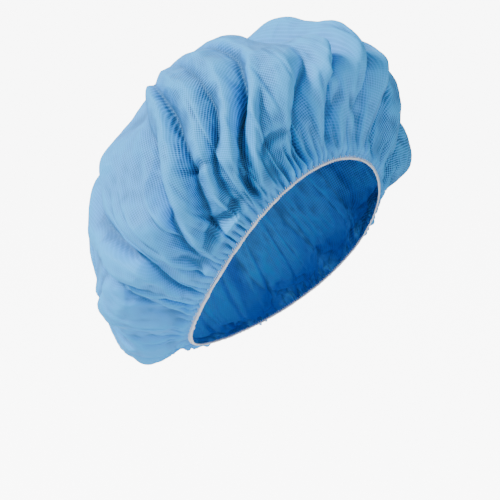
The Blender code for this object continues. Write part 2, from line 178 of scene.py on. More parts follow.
def rimPoint(u):
    halfWidth = bag["rimWidth"] / 2 * (1 + bag["napeNarrowing"] * np.cos(u))
    point = spread(bag["rimLength"] / 2 * np.cos(u), forward) + spread(halfWidth * np.sin(u), sideways)
    return point - spread(bag["earDip"] * np.sin(u) ** 2, crownward)


def bagPoint(u, way):
    u, way = np.broadcast_arrays(np.asarray(u, float), np.asarray(way, float))
    keys = [row[0] for row in bag["sections"]]
    out, span, rise = (smoothTable(way, keys, [row[k] for row in bag["sections"]]) for k in (1, 2, 3))
    turns, shares = (list(column) for column in zip(*bag["overhangRound"]))
    turnKeys = [turn - 360 for turn in turns[-2:]] + turns + [turn + 360 for turn in turns[:3]]
    allShares = shares[-2:] + shares + shares[:3]
    overhang = bag["overhang"] * smoothTable(np.degrees(u) % 360, turnKeys, allShares)
    along = np.cos(u) / (bag["rimLength"] / 2)
    across = np.sin(u) / (bag["rimWidth"] / 2)
    outward = spread(along, forward) + spread(across, sideways)
    outward = outward / spread(np.hypot(along, across), 1.0)
    point = rimPoint(u) + spread(out * overhang, 1.0) * outward
    point = spread(span, 1.0) * point + spread(rise * bag["crownHeight"], crownward)
    point = point + spread(bag["crownForward"] * np.sin(way * math.pi / 2) ** 2, forward)
    sag = np.exp(-(((way - 0.26) / 0.20) ** 2)) * (0.5 - 0.5 * np.cos(u)) * np.minimum(way / 0.10, 1)
    return point - spread(bag["napeDroop"] * sag, upward)


def bagNormal(u, way):
    step = 1e-4
    way = np.clip(way, step, 1 - 40 * step)
    normal = np.cross(bagPoint(u + step, way) - bagPoint(u - step, way),
                      bagPoint(u, way + step) - bagPoint(u, way - step))
    return normal / np.linalg.norm(normal, axis=-1, keepdims=True)


def foldPath(fold, steps=24):
    t = np.linspace(0, 1, steps)
    a, b, c = (np.array(((1 - fold[k + 1]) * math.cos(math.radians(fold[k])),
                         (1 - fold[k + 1]) * math.sin(math.radians(fold[k])))) for k in (1, 3, 5))
    middle = 2 * b - (a + c) / 2
    curve = spread((1 - t) ** 2, a) + spread(2 * t * (1 - t), middle) + spread(t * t, c)
    return bagPoint(np.arctan2(curve[:, 1], curve[:, 0]), 1 - np.hypot(curve[:, 0], curve[:, 1]))


def foldHeight(base):
    height = np.zeros(len(base))
    for _, turn, way, span, share in bag["lobes"]:
        centre = bagPoint(math.radians(turn), way)
        height += share * bag["lobeHeight"] * np.exp(
            -(np.linalg.norm(base - centre, axis=1) / (span * bag["lobeSpan"])) ** 2)
    for fold in bag["folds"]:
        span, share, crease = fold[7:]
        distances = np.linalg.norm(base[:, None, :] - foldPath(fold), axis=2)
        nearest = distances.argmin(axis=1) / (distances.shape[1] - 1)
        across = np.clip(distances.min(axis=1) / (span * bag["foldSpan"]), 0, 1)
        shape = (1 - crease) * (1 - across) ** 2 * (1 + 2 * across) + crease * (1 - across) ** 1.5
        taper = np.minimum(1, 0.35 + 3 * nearest) * np.minimum(1, 0.2 + 3 * (1 - nearest))
        height += share * bag["foldDepth"] * shape * taper
    return height


# Sharp valleys between ridges that bulge.
def creaseHeight(u, way):
    rows = np.array([row[1:] for row in bag["creases"]], float)
    rows = np.concatenate([rows, rows[:1] + np.array([360] * 4 + [0] * 4)])
    at = np.clip(way, bag["creaseWays"][0], bag["creaseWays"][-1])
    turns = np.stack([smoothTable(at, bag["creaseWays"], row[:4]) for row in rows], 1)
    heights = np.stack([smoothTable(at, bag["creaseWays"], row[4:]) for row in rows], 1)
    degrees = np.degrees(u) % 360
    degrees = np.where(degrees < turns[:, 0], degrees + 360, degrees)
    degrees = np.where(degrees >= turns[:, -1], degrees - 360, degrees)
    row = np.clip((turns <= degrees[:, None]).sum(1) - 1, 0, len(rows) - 2)
    i = np.arange(len(u))
    here, beside = heights[i, row], heights[i, row + 1]
    t = np.clip((degrees - turns[i, row]) / (turns[i, row + 1] - turns[i, row]), 0, 1)
    t = np.where(beside >= here, t, 1 - t)
    t = (1 - bag["creaseBulge"]) * t + bag["creaseBulge"] * np.sin(t * math.pi / 2)
    height = np.minimum(here, beside) + np.abs(beside - here) * t
    fade = np.clip(way / bag["foldStart"], 0, 1) * np.clip((0.80 - way) / 0.28, 0, 1)
    return height * bag["creaseDepth"] * fade


# The cloth, from its flat round cut.
cloth = {
    "radius": 0.2665,
    "columns": 1024,
    "rimRowSpacing": 0.0024,
    "rowSpacing": 0.0030,
    "fineRows": 0.050,
    "seed": 11,
    # gathers tight against the band: how many round, least and most way they reach, depth in metres
    "gatherCount": 104,
    "gatherEnds": (0.035, 0.15),
    "gatherDepth": 0.0042,
    # where the gathers fan out low at the back: degrees round, span in degrees, how much longer
    "napeGathers": (240, 24, 1.1),
    # way over which everything grows from the flat edge in the elastic
    "rimFade": 0.020,
    # flat pleats: how many round, least and most depth in metres, ways where they start and end
    "pleats": (
        (72, 0.0022, 0.0058, 0.00, 0.02, 0.08, 0.30),
        (64, 0.0010, 0.0042, 0.10, 0.26, 0.36, 0.66),
    ),
    # height in metres from which crests round off, and how much higher they may get
    "crestStart": 0.0030,
    "crestRound": 0.0042,
    # how much shallower the folds lie on the left and at the back
    "calmLeft": 0.45,
    # creases of crumpled cloth: spacing and depth in metres, how far drawn out along the folds, and
    # the area in square metres that they are scattered over
    "crumples": ((0.036, 0.0018, 0.50), (0.018, 0.0016, 0.45), (0.009, 0.0008, 0.6)),
    "crumpledArea": 0.16,
    # last slight easing: rounds, how much longer and shorter than laid a thread may want to be, how
    # much longer across a bend, stiffness in bending
    "rounds": 8,
    "slackRound": 1.03,
    "slackAlong": 1.0,
    "shortest": 0.985,
    "slackBend": 1.2,
    "bending": (0.04, 0.02),
    # how hard each round pushes, how much motion it keeps, and how much of the way back it takes
    # along the cloth and across it
    "push": 2.6,
    "momentum": 0.9,
    "backAlong": 0.03,
    "backAcross": 0.015,
    # depths in metres at which a small and a broad fold get their full painted shade in the valleys and
    # painted highlight on the ridges
    "fineShadingDepth": 0.0007,
    "broadShadingDepth": 0.0035,
    # size in metres of the space in which the little creases are drawn
    "patternRadius": 0.11,
}


def ringNoise(u, count, rng):
    values = rng.uniform(-1, 1, count)
    x = (u / (2 * math.pi) * count) % count
    i = np.floor(x).astype(int)
    t = x - i
    t = t * t * (3 - 2 * t)
    return values[i % count] * (1 - t) + values[(i + 1) % count] * t


def gatherHeight(u, way, rng):
    count = cloth["gatherCount"]
    phase = count * u + 2.2 * ringNoise(u, count // 3, rng)
    strength = 1 + 0.6 * ringNoise(u, count // 2, rng)
    shortest, longest = cloth["gatherEnds"]
    end = shortest + (longest - shortest) * np.clip(0.5 + 0.6 * ringNoise(u, count // 2, rng), 0, 1) ** 1.5
    turn, span, longer = cloth["napeGathers"]
    end = end * (1 + longer * np.exp(-((np.degrees(u) % 360 - turn) / span) ** 2))
    window = np.clip(1 - way / end, 0, 1) ** 0.7
    return cloth["gatherDepth"] * window * strength * (1.6 * np.abs(np.sin(phase / 2)) ** 0.8 - 0.9)


def pleatHeight(u, way, rng):
    height = np.zeros(len(u))
    for count, leastDepth, mostDepth, firstStart, lastStart, firstEnd, lastEnd in cloth["pleats"]:
        edges = np.sort((np.arange(count) + rng.uniform(-0.38, 0.38, count)) / count) * 2 * math.pi
        closed = np.append(edges, edges[0] + 2 * math.pi)
        depths = rng.uniform(leastDepth, mostDepth, count)
        starts = rng.uniform(firstStart, lastStart, count)
        ends = rng.uniform(firstEnd, lastEnd, count)
        leans = np.convolve(np.tile(rng.normal(0, 0.35, count), 3), np.ones(5) / 5, "same")[count:2 * count]
        steep = np.where(rng.uniform(size=count) < 0.5, 0.16, 0.84)
        for k in range(count):
            t = ((u - closed[k] - leans[k] * way) % (2 * math.pi)) / (closed[k + 1] - closed[k])
            rise = np.where(t < steep[k], t / steep[k], (1 - t) / (1 - steep[k]))
            window = np.clip((way - starts[k]) / 0.03 + 0.25, 0, 1)
            window *= np.clip((ends[k] - way) / (0.6 * (ends[k] - starts[k])), 0, 1)
            height += depths[k] * window * np.where(t < 1, np.clip(rise, 0, 1) ** 0.8, 0)
    return height


def crumpleHeight(base, u, way, rng):
    step = 1e-3
    along = bagPoint(u, np.clip(way + step, 0, 1)) - bagPoint(u, np.clip(way - step, 0, 1))
    along /= np.linalg.norm(along, axis=1, keepdims=True) + 1e-12
    height = np.zeros(len(u))
    for spacing, depth, drawn in cloth["crumples"]:
        count = int(cloth["crumpledArea"] / spacing ** 2)
        sites = bagPoint(rng.uniform(0, 2 * math.pi, count), 1 - np.sqrt(rng.uniform(0, 0.97, count)))
        nearest = np.full(len(u), 1.0)
        for site in sites:
            offset = base - site
            lengthwise = np.einsum("ij,ij->i", offset, along)
            squared = np.einsum("ij,ij->i", offset, offset) - (1 - drawn ** 2) * lengthwise ** 2
            nearest = np.minimum(nearest, np.sqrt(np.clip(squared, 0, None)))
        height += depth * (nearest / (0.5 * spacing) - 0.8)
    return height * np.clip((way - 0.04) / 0.10, 0, 1) * np.clip((1 - way) / 0.6, 0.15, 1)


def ringRadii():
    radii = [cloth["radius"]]
    while radii[-1] > 0.006:
        fine = radii[-1] > cloth["radius"] - cloth["fineRows"]
        radii.append(radii[-1] - (cloth["rimRowSpacing"] if fine else cloth["rowSpacing"]))
    return radii


def ringColumns(radius):
    columns = cloth["columns"]
    limit = cloth["radius"] * 0.56
    while radius < limit and columns > 24:
        columns //= 2
        limit /= 2
    return columns


def flatCut():
    rings = [(radius, ringColumns(radius)) for radius in ringRadii()]
    flat, faces, starts = [], [], []
    for radius, columns in rings:
        starts.append(len(flat))
        for i in range(columns):
            turn = 2 * math.pi * i / columns
            flat.append((radius, turn))
    for k in range(len(rings) - 1):
        low, high = rings[k][1], rings[k + 1][1]
        ratio = low // high
        for i in range(high):
            j = (i + 1) % high
            below = [starts[k] + (i * ratio + m) % low for m in range(ratio + 1)]
            above = (starts[k + 1] + i, starts[k + 1] + j)
            if ratio == 1:
                faces.append((below[0], below[1], above[1], above[0]))
            else:
                faces += [(below[0], below[1], above[0]), (below[1], above[1], above[0]),
                          (below[1], below[2], above[1])]
    top = len(flat)
    flat.append((0.0, 0.0))
    last = rings[-1][1]
    faces += [(starts[-1] + i, starts[-1] + (i + 1) % last, top) for i in range(last)]
    return np.array(flat), faces


def pairUp(flat, faces):
    sides = set()
    for face in faces:
        for k in range(len(face)):
            a, b = face[k], face[(k + 1) % len(face)]
            sides.add((min(a, b), max(a, b)))
        if len(face) == 4:
            sides.add((min(face[0], face[2]), max(face[0], face[2])))
            sides.add((min(face[1], face[3]), max(face[1], face[3])))
    starts = np.flatnonzero(np.diff(flat[:, 0], prepend=-1))
    counts = np.diff(np.append(starts, len(flat)))
    apart = []
    for reach in (2, 4):
        pairs = []
        for k in range(len(starts)):
            if counts[k] >= 12 * reach:
                i = np.arange(counts[k])
                pairs.append(np.stack([starts[k] + i, starts[k] + (i + reach) % counts[k]], 1))
            if k + reach < len(starts) and counts[k + reach] >= 24:
                i = np.arange(counts[k + reach])
                below = starts[k] + i * (counts[k] // counts[k + reach])
                pairs.append(np.stack([below, starts[k + reach] + i], 1))
        apart.append(np.concatenate(pairs))
    return np.array(sorted(sides)), apart


def addUp(first, second, moves, count):
    return np.stack([np.bincount(first, moves[:, k], count) - np.bincount(second, moves[:, k], count)
                     for k in range(3)], 1)


# A last slight easing of the cloth, which moves no point by more than about half a millimetre: the
# folds above make the form. Each thread pulls towards its cut length, but only within a few per cent
# of its length as laid. The cloth resists bending, and each point is drawn back to where it was laid.
def relaxCloth(flat, faces, start, normal):
    sides, apart = pairUp(flat, faces)
    pairs = np.concatenate([sides] + apart)
    a, b = pairs.T
    count = len(start)
    plane = np.stack([flat[:, 0] * np.cos(flat[:, 1]), flat[:, 0] * np.sin(flat[:, 1])], 1)
    cutLength = np.linalg.norm(plane[b] - plane[a], axis=1)
    wornLength = np.linalg.norm(start[b] - start[a], axis=1)
    lengthwise = np.clip(np.abs(flat[b, 0] - flat[a, 0]) / cutLength, 0, 1)
    slack = cloth["slackRound"] + (cloth["slackAlong"] - cloth["slackRound"]) * lengthwise ** 2
    length = np.clip(cutLength, cloth["shortest"] * wornLength, slack * wornLength)
    bending = len(sides)
    length[bending:] = np.clip(cutLength[bending:], wornLength[bending:],
                               cloth["slackBend"] * wornLength[bending:])
    bends = [np.full(len(pair), value) for pair, value in zip(apart, cloth["bending"])]
    stiffness = np.concatenate([np.ones(bending)] + bends)
    weight = (np.bincount(a, stiffness, count) + np.bincount(b, stiffness, count))[:, None]
    rim = flat[:, 0] > cloth["radius"] - 1e-6
    now, before = start.copy(), start.copy()
    for _ in range(cloth["rounds"]):
        moving = now + cloth["momentum"] * (now - before)
        before = now
        gap = moving[b] - moving[a]
        long = np.linalg.norm(gap, axis=1)
        moves = (stiffness * (long - length) / np.maximum(long, 1e-9) * 0.5)[:, None] * gap
        now = moving + cloth["push"] * addUp(a, b, moves, count) / weight
        back = start - now
        outward = np.einsum("ij,ij->i", back, normal)[:, None] * normal
        now = now + cloth["backAlong"] * (back - outward) + cloth["backAcross"] * outward
        now[rim] = start[rim]
    return now


def smoothCloth(flat, faces, points, share, rounds):
    sides, _ = pairUp(flat, faces)
    a, b = sides.T
    count = len(points)
    weight = (np.bincount(a, minlength=count) + np.bincount(b, minlength=count))[:, None]
    keep = np.clip((cloth["radius"] - flat[:, 0]) / 0.008, 0, 1)[:, None] * share
    for _ in range(rounds):
        points = points + keep * addUp(a, b, points[b] - points[a], count) / weight
    return points


# The dots show most where the cloth lies smooth, at either side of the front.
def dotStrength(u, way):
    side = np.exp(-((np.degrees(np.arccos(np.cos(u))) - 50) / 33) ** 2)
    return 0.22 + 0.78 * side * np.clip(way / 0.10, 0, 1) * np.clip((0.78 - way) / 0.25, 0, 1)


# How far each point lies below and above the cloth round it, each from 0 to 1: masks for painted shade in
# the valleys and a painted highlight on the ridges.
def paintedFoldShading(flat, faces, points, normal):
    near = smoothCloth(flat, faces, points, 0.9, 5)
    around = smoothCloth(flat, faces, near, 0.9, 20)
    fine = np.einsum("ij,ij->i", near - points, normal) / cloth["fineShadingDepth"]
    broad = np.einsum("ij,ij->i", around - near, normal) / cloth["broadShadingDepth"]
    # Points below the cloth round them get painted shade, a darker and deeper blue, where the folds fall
    # into shade.
    valley = 0.7 * np.clip(fine, 0, 1) + 0.4 * np.clip(broad, 0, 1)
    # Points above the cloth round them get a painted highlight, a lighter blue, as if lit.
    ridge = 0.9 * np.clip(-fine - 0.1, 0, 1) + 0.4 * np.clip(-broad, 0, 1)
    return np.clip(valley, 0, 1), np.clip(ridge, 0, 1)


def makeCloth():
    flat, faces = flatCut()
    u = flat[:, 1]
    way = 1 - flat[:, 0] / cloth["radius"]
    rng = np.random.default_rng(cloth["seed"])
    base = bagPoint(u, way)
    normal = bagNormal(u, way)
    gathers = gatherHeight(u, way, rng)
    leftward = np.clip((np.cos(u - math.radians(135)) + 0.2) / 0.6, 0, 1)
    crests = creaseHeight(u, way) * (1 - cloth["calmLeft"] * leftward)
    above = np.clip(crests - cloth["crestStart"], 0, None)
    crests = crests - above + cloth["crestRound"] * np.tanh(above / cloth["crestRound"] / 1.3)
    height = foldHeight(base) * np.clip(way / bag["foldStart"], 0, 1) + crests
    height += gathers + pleatHeight(u, way, rng) + crumpleHeight(base, u, way, rng)
    height *= np.clip(0.05 + way / cloth["rimFade"], 0, 1)
    worn = base + spread(height, 1.0) * normal
    loose = np.clip((way - 0.02) / 0.10, 0, 1)
    worn = worn + spread(loose, 1.0) * (relaxCloth(flat, faces, worn, normal) - worn)
    mesh = bpy.data.meshes.new("cloth")
    mesh.from_pydata(worn.tolist(), [], faces)
    mesh.shade_smooth()
    uv = mesh.uv_layers.new(name="flatCut")
    loops = np.empty(len(mesh.loops), dtype=int)
    mesh.loops.foreach_get("vertex_index", loops)
    plane = np.stack([flat[:, 0] * np.cos(u), flat[:, 0] * np.sin(u)], 1)
    uv.data.foreach_set("uv", plane[loops].ravel())
    strengths = mesh.attributes.new("dotStrength", "FLOAT", "POINT")
    strengths.data.foreach_set("value", dotStrength(u, way))
    places = mesh.attributes.new("foldPlace", "FLOAT_VECTOR", "POINT")
    width = cloth["patternRadius"] * np.clip((1 - way) / 0.45, 0, 1)
    place = np.stack([width * np.cos(u), width * np.sin(u), cloth["patternRadius"] * way], 1)
    places.data.foreach_set("vector", place.ravel())
    # Masks for painted shade in the valleys and a painted highlight on the ridges.
    for name, values in zip(("valley", "ridge"), paintedFoldShading(flat, faces, worn, normal)):
        marks = mesh.attributes.new(name, "FLOAT", "POINT")
        marks.data.foreach_set("value", values)
    mesh.materials.append(clothMaterial)
    piece = bpy.data.objects.new("clothBag", mesh)
    scene.collection.objects.link(piece)
    return piece


# The bonding dots pressed into the cloth, on its flat cut: a mask and a height.
def embossedDots():
    group = bpy.data.node_groups.new("embossedDots", "ShaderNodeTree")
    for name, value in (("pitch", 0.0024), ("dotSize", 0.30), ("strength", 1.0)):
        group.interface.new_socket(name, in_out="INPUT", socket_type="NodeSocketFloat").default_value = value
    for name in ("mask", "height"):
        group.interface.new_socket(name, in_out="OUTPUT", socket_type="NodeSocketFloat")
    nodes, links = group.nodes, group.links
    given = nodes.new("NodeGroupInput")
    result = nodes.new("NodeGroupOutput")
    flatCut = nodes.new("ShaderNodeUVMap")
    flatCut.uv_map = "flatCut"
    turned = nodes.new("ShaderNodeVectorRotate")
    turned.rotation_type = "Z_AXIS"
    turned.inputs["Angle"].default_value = math.radians(83)
    links.new(flatCut.outputs["UV"], turned.inputs["Vector"])
    divide = nodes.new("ShaderNodeVectorMath")
    divide.operation = "DIVIDE"
    both = nodes.new("ShaderNodeCombineXYZ")
    for axis in ("X", "Y"):
        links.new(given.outputs["pitch"], both.inputs[axis])
    both.inputs["Z"].default_value = 1
    links.new(turned.outputs["Vector"], divide.inputs[0])
    links.new(both.outputs["Vector"], divide.inputs[1])
    cell = nodes.new("ShaderNodeVectorMath")
    cell.operation = "FRACTION"
    links.new(divide.outputs["Vector"], cell.inputs[0])
    centred = nodes.new("ShaderNodeVectorMath")
    centred.operation = "SUBTRACT"
    centred.inputs[1].default_value = (0.5, 0.5, 0)
    links.new(cell.outputs["Vector"], centred.inputs[0])
    distance = nodes.new("ShaderNodeVectorMath")
    distance.operation = "LENGTH"
    links.new(centred.outputs["Vector"], distance.inputs[0])
    dot = nodes.new("ShaderNodeMapRange")
    dot.interpolation_type = "SMOOTHSTEP"
    dot.inputs["To Min"].default_value = 1
    dot.inputs["To Max"].default_value = 0
    inner = nodes.new("ShaderNodeMath")
    inner.operation = "MULTIPLY"
    inner.inputs[1].default_value = 0.72
    links.new(given.outputs["dotSize"], inner.inputs[0])
    links.new(distance.outputs["Value"], dot.inputs["Value"])
    links.new(inner.outputs["Value"], dot.inputs["From Min"])
    links.new(given.outputs["dotSize"], dot.inputs["From Max"])
    shown = nodes.new("ShaderNodeMath")
    shown.operation = "MULTIPLY"
    links.new(dot.outputs["Result"], shown.inputs[0])
    links.new(given.outputs["strength"], shown.inputs[1])
    links.new(shown.outputs["Value"], result.inputs["mask"])
    sunk = nodes.new("ShaderNodeMath")
    sunk.operation = "MULTIPLY"
    sunk.inputs[1].default_value = -1
    links.new(shown.outputs["Value"], sunk.inputs[0])
    links.new(sunk.outputs["Value"], result.inputs["height"])
    return group


# Fine fibres: a value about 0.5 that mottles colour and gives a height.
def fibres():
    group = bpy.data.node_groups.new("fibres", "ShaderNodeTree")
    for name, value in (("scale", 300.0), ("detail", 4.0)):
        group.interface.new_socket(name, in_out="INPUT", socket_type="NodeSocketFloat").default_value = value
    group.interface.new_socket("value", in_out="OUTPUT", socket_type="NodeSocketFloat")
    nodes, links = group.nodes, group.links
    given = nodes.new("NodeGroupInput")
    result = nodes.new("NodeGroupOutput")
    place = nodes.new("ShaderNodeTexCoord")
    noise = nodes.new("ShaderNodeTexNoise")
    links.new(place.outputs["Object"], noise.inputs["Vector"])
    links.new(given.outputs["scale"], noise.inputs["Scale"])
    links.new(given.outputs["detail"], noise.inputs["Detail"])
    links.new(noise.outputs["Fac"], result.inputs["value"])
    return group


# A height for sharp little creases, used as bump alone, laid out by the points' own foldPlace.
def crumpling():
    group = bpy.data.node_groups.new("crumpling", "ShaderNodeTree")
    for name, value in (("broadScale", 40.0), ("fineScale", 110.0), ("fineShare", 0.35)):
        group.interface.new_socket(name, in_out="INPUT", socket_type="NodeSocketFloat").default_value = value
    group.interface.new_socket("height", in_out="OUTPUT", socket_type="NodeSocketFloat")
    nodes, links = group.nodes, group.links
    given = nodes.new("NodeGroupInput")
    result = nodes.new("NodeGroupOutput")
    place = nodes.new("ShaderNodeAttribute")
    place.attribute_name = "foldPlace"
    cells = []
    for name in ("broadScale", "fineScale"):
        cell = nodes.new("ShaderNodeTexVoronoi")
        links.new(place.outputs["Vector"], cell.inputs["Vector"])
        links.new(given.outputs[name], cell.inputs["Scale"])
        cells.append(cell)
    share = nodes.new("ShaderNodeMath")
    share.operation = "MULTIPLY_ADD"
    links.new(cells[1].outputs["Distance"], share.inputs[0])
    links.new(given.outputs["fineShare"], share.inputs[1])
    links.new(cells[0].outputs["Distance"], share.inputs[2])
    links.new(share.outputs["Value"], result.inputs["height"])
    return group


dotsGroup = embossedDots()
fibreGroup = fibres()
crumpleGroup = crumpling()

clothLook = {
    "colour": (0.070, 0.400, 0.960, 1),
    "mottledColour": (0.085, 0.445, 1.000, 1),
    "dotColour": (0.006, 0.045, 0.130, 1),
    # painted highlight: the lighter blue laid onto the ridges of the folds
    "ridgeHighlightColour": (0.055, 0.465, 1.000, 1),
    # painted shade: the darker blue laid into the valleys of the folds
    "valleyShadeColour": (0.060, 0.235, 0.520, 1),
    "roughness": 0.58,
    "creaseHeight": 0.0052,
    "dotPitch": 0.0019,
    "dotSize": 0.45,
}


def nonwovenCloth():
    material = bpy.data.materials.new("nonwovenCloth")
    material.use_nodes = True
    nodes, links = material.node_tree.nodes, material.node_tree.links
    shader = nodes["Principled BSDF"]
    shader.inputs["Roughness"].default_value = clothLook["roughness"]
    shader.inputs["Specular IOR Level"].default_value = 0.15
    mottle = nodes.new("ShaderNodeGroup")
    mottle.node_tree = fibreGroup
    mottle.inputs["scale"].default_value = 140
    body = nodes.new("ShaderNodeMix")
    body.data_type = "RGBA"
    body.inputs["A"].default_value = clothLook["colour"]
    body.inputs["B"].default_value = clothLook["mottledColour"]
    links.new(mottle.outputs["value"], body.inputs["Factor"])
    # Painted shade: the valleys of the folds are coloured a darker, deeper blue.
    shadedValleys = nodes.new("ShaderNodeMix")
    shadedValleys.data_type = "RGBA"
    shadedValleys.inputs["B"].default_value = clothLook["valleyShadeColour"]
    valley = nodes.new("ShaderNodeAttribute")
    valley.attribute_name = "valley"
    links.new(valley.outputs["Fac"], shadedValleys.inputs["Factor"])
    # Painted highlight: the ridges of the folds are coloured a lighter blue.
    litRidges = nodes.new("ShaderNodeMix")
    litRidges.data_type = "RGBA"
    litRidges.inputs["B"].default_value = clothLook["ridgeHighlightColour"]
    ridge = nodes.new("ShaderNodeAttribute")
    ridge.attribute_name = "ridge"
    links.new(ridge.outputs["Fac"], litRidges.inputs["Factor"])
    links.new(body.outputs["Result"], litRidges.inputs["A"])
    links.new(litRidges.outputs["Result"], shadedValleys.inputs["A"])
    dots = nodes.new("ShaderNodeGroup")
    dots.node_tree = dotsGroup
    dots.inputs["pitch"].default_value = clothLook["dotPitch"]
    dots.inputs["dotSize"].default_value = clothLook["dotSize"]
    panel = nodes.new("ShaderNodeAttribute")
    panel.attribute_name = "dotStrength"
    # The dots fade on the ridges, under the painted highlight.
    dotsUnderHighlight = nodes.new("ShaderNodeMath")
    dotsUnderHighlight.operation = "MULTIPLY_ADD"
    dotsUnderHighlight.inputs[1].default_value = -0.6
    dotsUnderHighlight.inputs[2].default_value = 1
    links.new(ridge.outputs["Fac"], dotsUnderHighlight.inputs[0])
    shown = nodes.new("ShaderNodeMath")
    shown.operation = "MULTIPLY"
    links.new(dotsUnderHighlight.outputs["Value"], shown.inputs[0])
    links.new(panel.outputs["Fac"], shown.inputs[1])
    links.new(shown.outputs["Value"], dots.inputs["strength"])
    dotted = nodes.new("ShaderNodeMix")
    dotted.data_type = "RGBA"
    dotted.inputs["B"].default_value = clothLook["dotColour"]
    links.new(dots.outputs["mask"], dotted.inputs["Factor"])
    links.new(shadedValleys.outputs["Result"], dotted.inputs["A"])
    links.new(dotted.outputs["Result"], shader.inputs["Base Color"])
    crumple = nodes.new("ShaderNodeGroup")
    crumple.node_tree = crumpleGroup
    crumpleBump = nodes.new("ShaderNodeBump")
    crumpleBump.inputs["Strength"].default_value = 1.0
    crumpleBump.inputs["Distance"].default_value = clothLook["creaseHeight"]
    links.new(crumple.outputs["height"], crumpleBump.inputs["Height"])
    fine = nodes.new("ShaderNodeGroup")
    fine.node_tree = fibreGroup
    fine.inputs["scale"].default_value = 900
    fibreBump = nodes.new("ShaderNodeBump")
    links.new(crumpleBump.outputs["Normal"], fibreBump.inputs["Normal"])
    fibreBump.inputs["Strength"].default_value = 0.25
    fibreBump.inputs["Distance"].default_value = 0.0004
    links.new(fine.outputs["value"], fibreBump.inputs["Height"])
    dotBump = nodes.new("ShaderNodeBump")
    dotBump.inputs["Strength"].default_value = 0.5
    dotBump.inputs["Distance"].default_value = 0.0004
    links.new(dots.outputs["height"], dotBump.inputs["Height"])
    links.new(fibreBump.outputs["Normal"], dotBump.inputs["Normal"])
    links.new(dotBump.outputs["Normal"], shader.inputs["Normal"])
    return material


def whiteElastic():
    material = bpy.data.materials.new("whiteElastic")
    material.use_nodes = True
    nodes, links = material.node_tree.nodes, material.node_tree.links
    shader = nodes["Principled BSDF"]
    shader.inputs["Roughness"].default_value = 0.75
    fine = nodes.new("ShaderNodeGroup")
    fine.node_tree = fibreGroup
    fine.inputs["scale"].default_value = 1500
    body = nodes.new("ShaderNodeMix")
    body.data_type = "RGBA"
    body.inputs["A"].default_value = (0.88, 0.91, 0.97, 1)
    body.inputs["B"].default_value = (1.0, 1.0, 1.0, 1)
    links.new(fine.outputs["value"], body.inputs["Factor"])
    links.new(body.outputs["Result"], shader.inputs["Base Color"])
    bump = nodes.new("ShaderNodeBump")
    bump.inputs["Distance"].default_value = 0.0003
    links.new(fine.outputs["value"], bump.inputs["Height"])
    links.new(bump.outputs["Normal"], shader.inputs["Normal"])
    return material


clothMaterial = nonwovenCloth()
elasticMaterial = whiteElastic()

print("cutting and gathering the cloth")
clothBag = makeCloth()
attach(clothBag, "root")
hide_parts("crown")


# The elastic at the cloth's edge and the thread that overlocks it.
elastic = {
    "columns": 640,
    "corners": 10,
    "height": 0.0017,
    "napeHeight": 0.0005,
    "unevenHeight": 0.0003,
    "thickness": 0.0010,
    "roughness": 0.00022,
    "seatGap": 0.0002,
    "sunk": 0.0005,
    "seed": 4,
}


def rimLine(columns):
    u = np.arange(columns) * 2 * math.pi / columns
    edge = bagPoint(u, np.zeros(columns))
    normal = bagNormal(u, np.zeros(columns))
    tangent = np.roll(edge, -1, 0) - np.roll(edge, 1, 0)
    tangent /= np.linalg.norm(tangent, axis=1, keepdims=True)
    away = np.cross(tangent, normal)
    away *= np.sign(np.einsum("ij,j->i", away, -crownward))[:, None]
    return u, edge, normal, away


def makeElastic():
    u, edge, normal, away = rimLine(elastic["columns"])
    rng = np.random.default_rng(elastic["seed"])
    height = elastic["height"] - elastic["napeHeight"] * np.cos(u)
    height = height + elastic["unevenHeight"] * ringNoise(u, 90, rng)
    middle = edge + spread(elastic["seatGap"] + height / 2, 1.0) * away - elastic["sunk"] * normal
    points, faces = [], []
    for corner in range(elastic["corners"]):
        angle = 2 * math.pi * corner / elastic["corners"]
        rough = 1 + elastic["roughness"] / elastic["thickness"] * 2 * ringNoise(u, 300, rng)
        up = spread(height / 2 * math.sin(angle) * rough, 1.0) * away
        out = spread(elastic["thickness"] / 2 * math.cos(angle) * rough, 1.0) * normal
        points.append(middle + up + out)
    columns = elastic["columns"]
    for corner in range(elastic["corners"]):
        below, above = corner * columns, (corner + 1) % elastic["corners"] * columns
        for i in range(columns):
            j = (i + 1) % columns
            faces.append((below + i, below + j, above + j, above + i))
    mesh = bpy.data.meshes.new("elastic")
    mesh.from_pydata(np.concatenate(points).tolist(), [], faces)
    mesh.shade_smooth()
    mesh.materials.append(elasticMaterial)
    piece = bpy.data.objects.new("elasticCord", mesh)
    scene.collection.objects.link(piece)
    return piece


stitches = {
    "spacing": 0.0018,
    "threadRadius": 0.00020,
    "reach": 0.0034,
    "slant": 0.0012,
    "rise": 0.0016,
    "edgeGap": 0.0002,
    "sunk": 0.0004,
}


